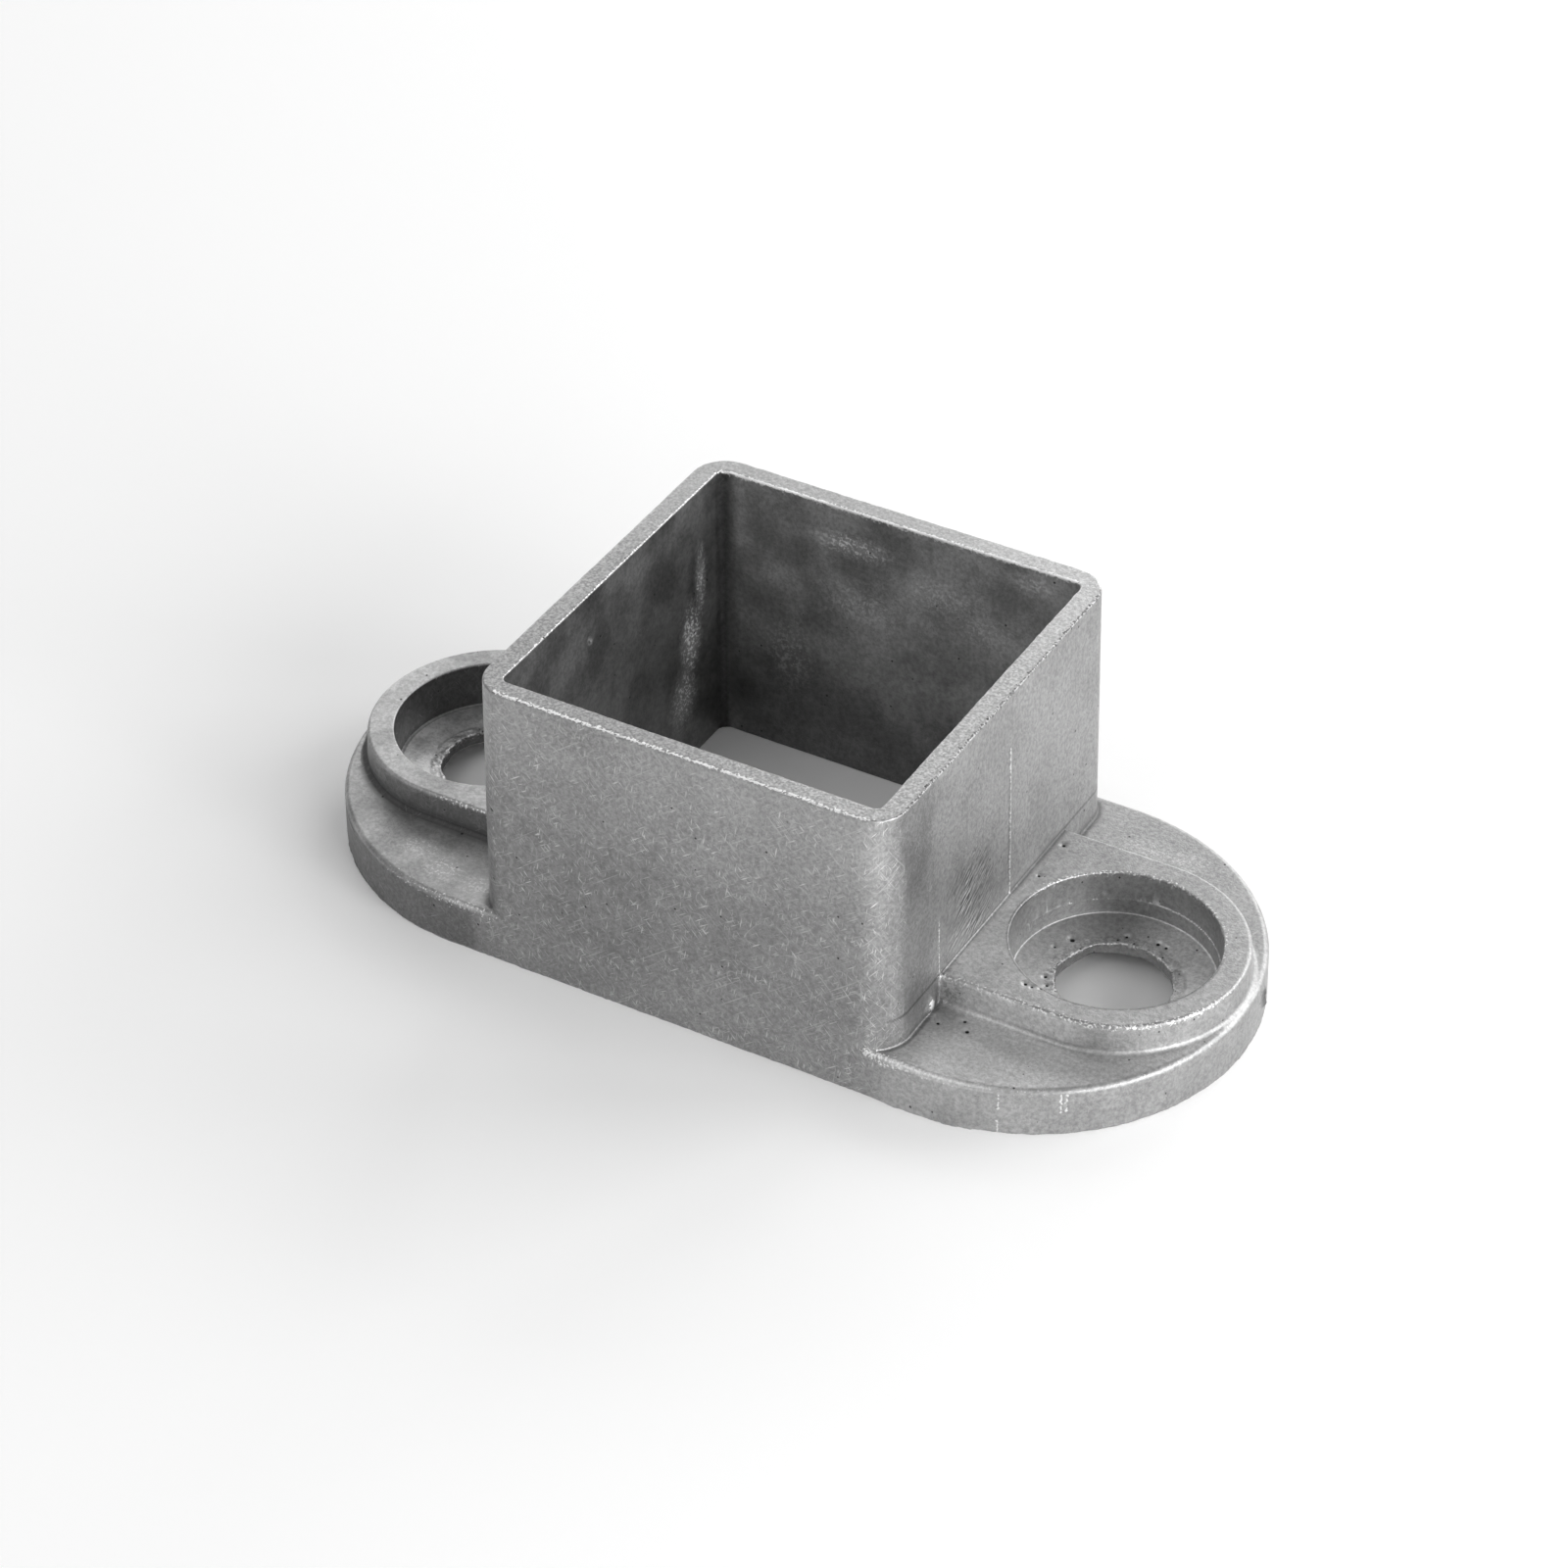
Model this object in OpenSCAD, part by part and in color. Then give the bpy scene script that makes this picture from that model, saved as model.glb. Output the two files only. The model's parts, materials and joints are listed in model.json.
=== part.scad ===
// Square tube base flange: one die casting with a drafted square socket on a flat base with two ears.
// The origin is the centre of the socket on the underside. X runs along the ears and Z up the socket.

/* [Tube socket] */
// Outside width of the square tube that slides in
tube_w = 38; // [34:0.5:46]
// Play on each side of the tube, at the rim
tube_gap = 0.35; // [0.1:0.05:0.8]
// Thickness of the socket's walls at the rim
socket_wall = 2.15; // [1.6:0.05:3]
// Height of the rim above the underside
socket_h = 30.6; // [20:0.2:60]
// Rounding of the four outer corners, seen from above
corner_r = 3.4; // [2.5:0.1:5]
// Rounding of the four inner corners, seen from above
inner_corner_r = 0.8; // [0.4:0.1:1.5]
// Worn rounding along the outer edge of the rim
rim_edge_r = 0.3; // [0.1:0.05:0.6]
// Draft of the outer walls in degrees, wider downwards
outer_draft = 0.9; // [0.3:0.1:1.5]
// Draft of the inner walls in degrees, wider downwards
inner_draft = 0.65; // [0.3:0.05:1.5]

/* [Base plate] */
// Thickness of the base plate
plate_t = 5; // [4.2:0.1:7]
// Rounding along the plate's upper edge
plate_edge_r = 0.6; // [0.2:0.05:1]
// Ledge left beyond the boss's fillet at each end of the plate
tip_ledge = 0.2; // [0.1:0.05:4]

/* [Bolt bosses] */
// Diameter of the bolt hole
bolt_d = 10.9; // [8:0.1:13]
// Diameter of the recess for the bolt's head, at its mouth
head_d = 19.5; // [17:0.1:22]
// Metal left between the socket's wall and the recess
head_gap = 1.67; // [1:0.01:5]
// Width of the ring round the recess, on top
boss_wall = 2.55; // [1.8:0.05:3.5]
// Height of the boss above the plate
boss_h = 3; // [1.5:0.1:6]
// Draft of the boss's flank in degrees
boss_draft = 3.5; // [1:0.5:8]
// Rounding along the boss's upper edge
boss_edge_r = 0.35; // [0.1:0.05:0.6]
// Draft of the recess's wall in degrees
head_draft = 2; // [0.5:0.25:4]
// Small step halfway down the recess's wall
head_step = 0.1; // [0.05:0.01:0.3]
// Depth of the recess at the foot of its wall
head_depth = 4.6; // [3:0.1:6]
// Fall of the recess's floor from the wall to the hole
floor_fall = 0.45; // [0:0.05:0.8]
// Thickness of the floor at the hole
floor_t = 1.2; // [0.8:0.1:2.2]

/* [Casting fillets and underside] */
// Fillet where walls and flanks meet the faces below them
foot_r = 0.6; // [0.3:0.1:1]
// Width of the rim left round each pocket on the underside
pocket_rim = 2.6; // [1.8:0.1:4]
// Rounding of each pocket's two corners beside the socket
pocket_corner_r = 2; // [1:0.5:4]

/* [Hidden] */
$fn = 96;

// Steps in the arc of a rounding, and how far one cut runs past a face
arc_steps = 5;
past = 1;

// Socket: half widths at the rim and at the underside, and the fixed centres of the rounded corners
clear_half = tube_w / 2 + tube_gap;
rim_half = clear_half + socket_wall;
base_half = rim_half + socket_h * tan(outer_draft);
corner_c = rim_half - corner_r;
inner_c = clear_half - inner_corner_r;

// Heights of the boss's top, of the recess's floor at its wall and at the hole, and of the pocket's roof
boss_z = plate_t + boss_h;
floor_z = boss_z - head_depth;
land_z = floor_z - floor_fall;
pocket_z = land_z - floor_t;

// Radii of the hole, the recess and the boss with its fillet, and the hole's distance from the middle
bolt_r = bolt_d / 2;
head_r = head_d / 2;
step_r = head_r - boss_h * tan(head_draft);
lower_r = step_r - head_step;
floor_r = lower_r - (plate_t - floor_z) * tan(head_draft);
boss_r = head_r + boss_wall;
boss_foot_r = boss_r + (boss_h - foot_r) * tan(boss_draft) + foot_r;
bolt_x = base_half + head_gap + head_r;

// The plate's ends are half circles as wide as the socket's foot, and plate_half is the same at its top
plate_end_x = bolt_x + boss_foot_r + tip_ledge - base_half;
plate_half = base_half - plate_t * tan(outer_draft);

// Points of a circular arc in a profile, from angle a to angle b
function arc_points(x, z, r, a, b) =
    [for (i = [0:arc_steps]) let (t = a + (b - a) * i / arc_steps) [x + r * cos(t), z + r * sin(t)]];

// Concave arc that leads from a flat at height z into a wall at radius r above it
function foot_points(r, z) = arc_points(r + foot_r, z + foot_r, foot_r, 270, 180);

// Half profile of a drafted wall, r at its top z1 and wider by the draft down to z0, with a rounded upper edge
function wall_profile(r, z0, z1, draft, edge) = concat(
    [[0, z0], [r + (z1 - z0) * tan(draft), z0]],
    arc_points(r - edge, z1 - edge, edge, 0, 90),
    [[0, z1]]
);

// A half profile pushed outwards by c and mirrored into a whole section
function whole_section(half, c) =
    concat([for (p = half) [p[0] + c, p[1]]], [for (i = [len(half) - 1:-1:0]) [-half[i][0] - c, half[i][1]]]);

// A bar along X whose section is a mirrored half profile
module bar(half, length, c = 0) {
    rotate([90, 0, 90]) linear_extrude(length, center = true) polygon(whole_section(half, c));
}

// A square block with rounded corners about (c, c), whose sides follow a half profile
module square_block(half, c) {
    for (a = [0, 90]) rotate(a) bar(half, 2 * c, c);
    for (a = [0:90:270]) rotate(a) translate([c, c, 0]) rotate_extrude(angle = 90) polygon(half);
}

// A block with half-round ends at x = -end_x and end_x, whose sides follow a half profile
module stadium_block(half, end_x) {
    bar(half, 2 * end_x);
    for (x = [-end_x, end_x]) translate([x, 0, 0]) rotate_extrude() polygon(half);
}

// The socket's outside, from the underside to the rim
module socket_outside() {
    square_block(wall_profile(corner_r, 0, socket_h, outer_draft, rim_edge_r), corner_c);
}

// The hollow that takes the tube, open at both ends
module socket_inside() {
    slope = tan(inner_draft);
    half = [
        [0, -past],
        [inner_corner_r + (socket_h + past) * slope, -past],
        [inner_corner_r - past * slope, socket_h + past],
        [0, socket_h + past]
    ];
    square_block(half, inner_c);
}

// The flat base with its two ears
module base_plate() {
    stadium_block(wall_profile(plate_half, 0, plate_t, outer_draft, plate_edge_r), plate_end_x);
}

// Raised ground for the bolt's head: a round boss that runs straight back into the socket's wall
module boss() {
    half = concat(
        [[0, pocket_z], [boss_foot_r, pocket_z]],
        foot_points(boss_foot_r - foot_r, plate_t),
        arc_points(boss_r - boss_edge_r, boss_z - boss_edge_r, boss_edge_r, 0, 90),
        [[0, boss_z]]
    );
    translate([bolt_x / 2, 0, 0]) bar(half, bolt_x);
    translate([bolt_x, 0, 0]) rotate_extrude() polygon(half);
}

// Concave fillet round the socket's wall on a flat at height z, cut off at half_w where the flat ends
module wall_fillet(z, half_w) {
    wall_r = corner_r + (socket_h - z - foot_r) * tan(outer_draft);
    half = concat([[0, pocket_z], [wall_r + foot_r, pocket_z]], foot_points(wall_r, z), [[0, z + foot_r]]);
    intersection() {
        square_block(half, corner_c);
        translate([-2 * base_half, -half_w, 0]) cube([4 * base_half, 2 * half_w, socket_h]);
    }
}

// Recess for the bolt's head, with its dished floor and the bolt hole
module head_recess() {
    slope = tan(head_draft);
    translate([bolt_x, 0, 0]) rotate_extrude() polygon([
        [0, -past],
        [bolt_r, -past],
        [bolt_r, land_z],
        [floor_r, floor_z],
        [lower_r, plate_t],
        [step_r, plate_t],
        [head_r, boss_z],
        [head_r + past * slope, boss_z + past],
        [0, boss_z + past]
    ]);
}

// Shallow pocket in the ear's underside, which keeps the floor under the bolt's head thin
module ear_pocket() {
    half_w = base_half - pocket_rim;
    near_x = base_half;
    corner_x = near_x + pocket_corner_r;
    translate([0, 0, -past]) linear_extrude(pocket_z + past) {
        translate([plate_end_x, 0]) intersection() {
            circle(half_w);
            translate([corner_x - plate_end_x, -half_w]) square([2 * half_w, 2 * half_w]);
        }
        if (plate_end_x > corner_x)
            translate([corner_x, -half_w]) square([plate_end_x - corner_x, 2 * half_w]);
        translate([near_x, pocket_corner_r - half_w])
            square([pocket_corner_r, 2 * (half_w - pocket_corner_r)]);
        for (s = [-1, 1]) translate([corner_x, s * (half_w - pocket_corner_r)]) circle(pocket_corner_r);
    }
}

module flange_casting() {
    color("darkgray") difference() {
        union() {
            socket_outside();
            base_plate();
            wall_fillet(plate_t, plate_half - plate_edge_r);
            wall_fillet(boss_z, boss_r - boss_edge_r);
            for (a = [0, 180]) rotate(a) boss();
        }
        socket_inside();
        for (a = [0, 180]) rotate(a) {
            head_recess();
            ear_pocket();
        }
    }
}

flange_casting();
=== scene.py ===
"""Looks of the square tube base flange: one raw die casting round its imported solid.

The casting's form is a distance field in millimetres, negative inside the metal. A surface net over
the field gives the mesh, which then gets the marks that casting, grinding and handling left on it.
"""

import json
import math

import bpy
import numpy as np
from mathutils import Matrix, Vector


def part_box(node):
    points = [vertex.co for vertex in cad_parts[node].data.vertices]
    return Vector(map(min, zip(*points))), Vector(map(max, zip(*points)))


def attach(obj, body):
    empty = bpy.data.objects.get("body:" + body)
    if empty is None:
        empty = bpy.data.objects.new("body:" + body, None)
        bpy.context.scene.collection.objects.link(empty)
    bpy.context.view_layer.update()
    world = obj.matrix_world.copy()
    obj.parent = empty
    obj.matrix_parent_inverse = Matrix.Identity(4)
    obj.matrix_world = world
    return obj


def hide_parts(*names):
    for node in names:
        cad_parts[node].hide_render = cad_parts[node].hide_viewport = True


MM = 0.001
NODE = "flange_casting"

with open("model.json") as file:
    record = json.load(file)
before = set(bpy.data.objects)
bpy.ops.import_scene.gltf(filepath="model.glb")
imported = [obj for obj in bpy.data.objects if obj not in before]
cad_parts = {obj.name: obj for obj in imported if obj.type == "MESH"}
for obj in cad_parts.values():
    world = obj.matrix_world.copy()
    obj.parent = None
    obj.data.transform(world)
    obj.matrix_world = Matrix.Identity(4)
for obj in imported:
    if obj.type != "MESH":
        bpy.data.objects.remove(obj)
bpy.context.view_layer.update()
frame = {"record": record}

# Driving sizes in millimetres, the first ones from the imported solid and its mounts
_, node_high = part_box(NODE)
mounts = {m["name"]: m for m in frame["record"]["mounts"]}
bolts = mounts["bolt_holes"]["dims"]
BASE_HALF = node_high.y / MM
SOCKET_H = node_high.z / MM
PLATE_END_X = node_high.x / MM - BASE_HALF
BOLT_X = bolts["spacing_x_mm"] / 2
BOLT_R = bolts["hole_r_mm"]
OUTER_SLOPE = math.tan(math.radians(0.9))
INNER_SLOPE = math.tan(math.radians(0.65))
BOSS_SLOPE = math.tan(math.radians(3.5))
HEAD_SLOPE = math.tan(math.radians(2))
RIM_HALF = BASE_HALF - SOCKET_H * OUTER_SLOPE
WALL = 2.15
CLEAR_HALF = RIM_HALF - WALL
CORNER_R = 3.4
INNER_CORNER_R = 0.8
PLATE_T = 5
BOSS_Z = 8
HEAD_R = 9.75
BOSS_WALL = 2.55
BOSS_R = HEAD_R + BOSS_WALL
STEP_R = HEAD_R - (BOSS_Z - PLATE_T) * HEAD_SLOPE
STEP = 0.1
FLOOR_Z = 3.4
LAND_Z = 2.95
POCKET_Z = 1.75
POCKET_RIM = 2.6
POCKET_HALF = BASE_HALF - POCKET_RIM
POCKET_CORNER_R = 2

# Roundings in millimetres
RIM_EDGE = 0.22
CUT_EDGE = 0.14
PLATE_EDGE = 0.6
BOSS_EDGE = 0.35
FOOT_R = 0.6
WALL_FOOT_R = 0.2

# Pits in the casting's skin: x, y, z and radius in millimetres
PITS = [
    (23.0, 4.8, 8.0, 0.22), (22.9, 10.0, 8.0, 0.28), (29.1, -9.6, 8.0, 0.26), (29.8, -9.7, 8.0, 0.2),
    (30.6, -9.5, 8.0, 0.18), (27.6, -2.5, 3.1, 0.26), (27.3, 3.5, 3.15, 0.4), (26.4, 1.7, 3.2, 0.24),
    (28.3, -3.6, 3.1, 0.22), (31.5, 6.3, 3.05, 0.22), (34.5, 6.75, 3.05, 0.28), (35.4, 6.6, 3.1, 0.24),
    (28.4, 8.1, 5.7, 0.24), (23.2, -15.1, 5.0, 0.24), (25.2, -13.7, 5.0, 0.26), (26.0, -14.8, 5.0, 0.32),
    (-19.4, -4.2, 25.5, 0.4),
]

# Light deposits: their middle, their reach along x, y and z in millimetres, and their strength
STAINS = [
    ((-4.9, 19.5, 26.6), (6, 3, 2), 1.2), ((-3.9, 19.5, 19.9), (6, 3, 3), 0.7),
    ((4.6, 19.5, 24.0), (6, 3, 3), 0.8), ((9.8, 19.5, 21.5), (5, 3, 3), 1.0),
    ((14.8, 19.5, 28.6), (4, 3, 2), 0.9), ((-12, 19.5, 12), (4, 3, 6), 0.5),
    ((-19.5, 15.6, 20.0), (3, 1.4, 6), 1.1), ((-19.5, 13.8, 14.0), (3, 2.6, 6), 1.5),
    ((-19.5, 12.4, 8.0), (3, 3.4, 5), 1.3), ((-31.4, -16.6, 5), (3, 2, 1), 1.2),
    ((-27.6, -18.2, 5), (3, 2.4, 1), 1.3), ((-23.5, -18.9, 5), (2.5, 2, 1), 1.2),
    ((28.5, 16.4, 5), (5, 2.4, 1), 0.6), ((32.5, 16.8, 5), (3, 2, 1), 0.7),
]

# Dark patches: their middle, their reach along x, y and z in millimetres, and their strength
SHADOWS = [
    ((22.8, -12.5, 6.5), (2.2, 1, 2.4), 0.9), ((-9, -21.7, 28.6), (7, 2, 3.5), 0.4),
    ((21.9, -11.2, 8.4), (2, 2, 3), 0.5),
]

# Ripples of the flowing metal on the right wall, painted as embossed light and shade: their middle and reach
# in millimetres
RIPPLES = ((21.8, -6.5, 12.5), (3, 6, 8))

# Bright beads at the feet of the right wall's die lines, painted highlights on the lump and ridge there:
# their middle and reach in millimetres
BEADS = [((22.1, -14.1, 5.9), (1.2, 1.0, 1.5)), ((22.0, 1.0, 8.3), (0.6, 0.4, 0.6))]

# Die lines on the right wall: y, and the lowest and highest point with the fade beyond them
FLASH_Y = 1.03
FLASH_SPAN = (8.4, 24.5, 1.2)
SECOND_Y = -12.56
SECOND_SPAN = (7, 14, 1)

# Lump at the foot of the second die line
LUMP = (22.2, -14.1, 5.8)

# Chip at the right ear's end: y, and the lowest and highest point with the fade beyond them
CHIP_Y = 4.9
CHIP_SPAN = (1.8, 3.9, 0.4)

# Nicks on the right ear's side: x, and the lowest and highest point
NICKS = ((32.2, 0.2, 1.4), (32.2, 2.8, 4.3), (37.16, 2.6, 4.4), (37.55, 2.9, 4.4))
NICK_FADE = 0.3

# Width of the surface net's cells in millimetres, and the most triangles that the mesh keeps
CELL = 0.15
MOST_TRIANGLES = 190000

# Mean lightness of the metal, where 1 is white
TONE = 0.4

# Soft boxes round the part: name, azimuth and elevation in degrees, and radiance
BOXES = (
    ("right_box", 0, 24, 4.2), ("far_box", 45, 24, 4.5), ("back_box", 90, 24, 3.2),
    ("left_box", 135, 24, 1.6), ("near_box", 245, 50, 1.5), ("front_box", 335, 18, 4.5),
)

# Size and distance of the soft boxes and half width of the floor in metres, and the sky's strength
BOX_WIDTH = 0.45
BOX_DISTANCE = 0.8
FLOOR_HALF = 2.0
SKY_STRENGTH = 0.3

# Camera that was fitted to the photograph's edges: lens and sensor in millimetres, place in metres
LENS = 110
SENSOR = 36
CAMERA_PLACE = (0.175936, -0.306115, 0.283740)
CAMERA_FORWARD = (-0.39779, 0.68689, -0.60823)
CAMERA_UP = (-0.29832, 0.53009, 0.79374)

lattice = np.random.default_rng(11).uniform(-1, 1, (32, 32, 32)).astype(np.float32)


def noise(p, size, layer=0):
    """Smooth noise from -1 to 1 at points p, with lumps of that size in millimetres."""
    q = p / size + layer * 5.37
    cell = np.floor(q).astype(np.int32)
    f = q - cell
    f = f * f * (3 - 2 * f)
    total = np.zeros(p.shape[1], np.float32)
    for corner in np.ndindex(2, 2, 2):
        share = np.ones_like(total)
        at = []
        for axis, side in enumerate(corner):
            share = share * (f[axis] if side else 1 - f[axis])
            at.append((cell[axis] + side) % len(lattice))
        total += share * lattice[tuple(at)]
    return total


def step_up(v, low, high):
    """0 below low and 1 above high, with a smooth rise between them."""
    t = np.clip((v - low) / (high - low), 0, 1)
    return t * t * (3 - 2 * t)


def window(v, low, high, fade):
    """1 between low and high, fading out smoothly beyond them."""
    return step_up(v, low - fade, low) * (1 - step_up(v, high, high + fade))


def peak(v, width):
    """1 where v is 0, falling away over about that width."""
    return np.exp(-np.square(v / width))


def round_max(a, b, r):
    """Intersection of two fields, with the edge where they meet rounded to radius r."""
    return np.minimum(np.maximum(a, b), -r) + np.hypot(np.maximum(a + r, 0), np.maximum(b + r, 0))


def round_min(a, b, r):
    """Union of two fields, with a fillet of radius r where they meet."""
    return -round_max(-a, -b, r)


def square_field(x, y, centre, r):
    """Distance to a square with rounded corners, whose corner centres lie at (centre, centre)."""
    a, b = x - centre, y - centre
    return np.hypot(np.maximum(a, 0), np.maximum(b, 0)) + np.minimum(np.maximum(a, b), 0) - r


def ear_field(x, y, end_x, r):
    """Distance to a stadium shape whose round ends are centred at x = -end_x and end_x."""
    return np.hypot(np.maximum(x - end_x, 0), y) - r


def faces_at(p):
    """Distances from points p, three rows of millimetres, to the casting's single faces."""
    x, y, z = np.abs(p[0]), np.abs(p[1]), p[2]
    r = np.hypot(x - BOLT_X, y)
    # The recess's small step is full at the far right, faint beside that and missing on the left
    step = STEP * (0.3 * (p[0] > 0) + 0.7 * step_up(p[0], BOLT_X - 3, BOLT_X + 2))
    fall = np.clip((r - BOLT_R) / (STEP_R - BOLT_R), 0, 1)
    pocket = round_max(ear_field(x, y, PLATE_END_X, POCKET_HALF), BASE_HALF - x, POCKET_CORNER_R)
    bore_r = INNER_CORNER_R + (SOCKET_H - z) * INNER_SLOPE
    return {
        "wall": square_field(x, y, RIM_HALF - CORNER_R, CORNER_R + (SOCKET_H - z) * OUTER_SLOPE),
        "side": ear_field(x, y, PLATE_END_X, BASE_HALF - z * OUTER_SLOPE),
        "flank": ear_field(x, y, BOLT_X, BOSS_R + (BOSS_Z - z) * BOSS_SLOPE),
        "bore": square_field(x, y, CLEAR_HALF - INNER_CORNER_R, bore_r),
        "upper": r - HEAD_R + (BOSS_Z - z) * HEAD_SLOPE,
        "lower": r - STEP_R + step + (PLATE_T - z) * HEAD_SLOPE,
        "floor": LAND_Z + (FLOOR_Z - LAND_Z) * fall - z,
        "hole": r - BOLT_R,
        "pocket": pocket,
    }


def form(p):
    """The casting's distance field at points p, without the marks on its skin."""
    f, z = faces_at(p), p[2]
    plate = round_max(f["side"], z - PLATE_T, PLATE_EDGE)
    boss = round_max(f["flank"], z - BOSS_Z, BOSS_EDGE)
    socket = round_max(f["wall"], z - SOCKET_H, RIM_EDGE)
    body = np.minimum(socket, round_min(plate, boss, FOOT_R))
    for top, outline in ((PLATE_T, f["side"] + PLATE_EDGE), (BOSS_Z, f["flank"] + BOSS_EDGE)):
        fillet = np.maximum(round_min(f["wall"], z - top, WALL_FOOT_R), z - top - WALL_FOOT_R)
        body = np.minimum(body, np.maximum(fillet, outline))
    body = round_max(body, -z, CUT_EDGE)
    recess = np.minimum(np.maximum(f["upper"], PLATE_T - z), f["lower"])
    recess = round_max(recess, f["floor"], CUT_EDGE)
    pocket = round_max(f["pocket"], z - POCKET_Z, CUT_EDGE)
    for cut in (f["bore"], pocket, recess, f["hole"]):
        body = round_max(body, -cut, CUT_EDGE)
    return body


def edge(first, second, width):
    """How far inside a band of that width along the edge of two faces each point lies."""
    return width - np.abs(first) - np.abs(second)


def band_widths(p):
    """Widths in millimetres of the bands along the edges, below zero where nothing shows: bright worn metal,
    partly painted highlights, and the painted shadow under the rim's right lip.
    """
    x, y = p[:2]
    right = x > 0
    near = step_up(-y, -1, 5)
    on_ear = step_up(np.abs(x), 18.3, 19.3)
    boss = -0.3 + np.where(right, 0.22 + 0.36 * near, 0.45 * near * step_up(x, -36, -30))
    fade = 0.9 - 0.5 * step_up(x, 22, 28) - 0.15 * step_up(x, 34, 38)
    plate = near * np.where(right, fade, 0.62 * step_up(x, -37, -29))
    return {
        # The front lip's bright line is partly a painted highlight, where the ground burr catches the light
        "lip": -0.3 + 0.52 * step_up(-y - np.abs(x), 0, 2.5),
        "inner_lip": -0.3 + 0.52 * step_up(y - np.abs(x), -1, 1) + 0.34 * step_up(-x - np.abs(y), -1, 1),
        # Width of the painted shadow under the rim's lip on the right
        "painted_lip_shadow": -0.3 + 0.42 * step_up(x - np.abs(y), 0, 2),
        "boss": boss,
        "plate": -0.3 + plate - 2 * (1 - on_ear),
        "mouth": -0.2 + 0.34 * right * step_up(y, -1, 5),
    }


def push_at(p):
    """How far casting and handling moved the skin outwards at points p, in millimetres."""
    f, (x, y, z) = faces_at(p), p
    fine, small = noise(p, 0.4, 1), noise(p, 1.0, 2)
    right, near = x > 0, y < 0
    push = (0.016 * noise(p, 6.5, 4) + 0.006 * noise(p, 1.6, 5)) * (1 - step_up(z, SOCKET_H - 0.1, SOCKET_H))

    # Burrs along the edges
    wide = band_widths(p)
    rough = np.maximum.reduce([
        edge(f["wall"], z - SOCKET_H, 0.2), edge(f["bore"], z - SOCKET_H, 0.25),
        edge(f["flank"], z - BOSS_Z, wide["boss"]), edge(f["upper"], z - BOSS_Z, wide["mouth"]),
        edge(f["side"], z - PLATE_T, wide["plate"] - 0.1),
    ])
    push += step_up(rough, -0.15, 0.2) * (0.025 * fine + 0.035 * small)
    bottom = peak(z, 0.4) * np.maximum(peak(f["side"], 0.5), peak(f["wall"], 0.5) * (np.abs(x) < 18))
    push += bottom * 0.04 * (small + fine)
    push += step_up(edge(f["hole"], z - LAND_Z, 0.2), -0.3, 0.2) * (0.06 * fine + 0.1 * small)
    push += window(f["hole"], -0.5, 0.2, 0.2) * (z < LAND_Z) * (0.1 * small + 0.12 * noise(p, 2.2, 6))
    push += burr_at(f, z) * (0.05 * fine + 0.04 * small + 0.03)

    # Ragged flash along the near bottom edge of the right ear
    flash = peak(z, 0.45) * peak(f["side"], 0.6) * window(x, 21.5, 29, 1.5) * near
    push += flash * (0.14 + 0.12 * small + 0.08 * fine)

    # Fine raised lines that the joints of the die left on the right wall, and a lump at the foot of one
    on_right = right * peak(f["wall"], 0.4)
    push += 0.1 * on_right * peak(y - FLASH_Y, 0.14) * window(z, *FLASH_SPAN)
    push += 0.08 * on_right * peak(y - SECOND_Y, 0.14) * window(z, *SECOND_SPAN)
    lump = right * peak(x - LUMP[0], 0.8) * peak(y - LUMP[1], 0.8) * peak(z - LUMP[2], 0.9)
    push += lump * (0.3 + 0.12 * small)

    # Short upright nicks on the right ear's side, a chip at its end and the pits
    for nick_x, low, high in NICKS:
        nick = 0.03 * near * peak(x - nick_x, 0.1) * window(z, low, high, NICK_FADE)
        push -= nick * peak(f["side"], 0.4)
    push += chip_at(f, p) * (0.28 + 0.1 * fine)
    for px, py, pz, size in PITS:
        push -= 0.9 * size * np.exp(-((x - px) ** 2 + (y - py) ** 2 + (z - pz) ** 2) / size ** 2)
    return push


def burr_at(f, z):
    """1 on the rough ring round each bolt hole."""
    return window(f["hole"], -0.2, 0.8, 0.4) * peak(z - LAND_Z - 0.1, 0.5)


def chip_at(f, p):
    """1 on the dark chip at the right ear's end."""
    x, y, z = p
    leaning = y - CHIP_Y + 0.25 * (z - 3)
    return (x > 0) * peak(f["side"], 0.6) * peak(leaning, 0.5) * window(z, *CHIP_SPAN)


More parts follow.
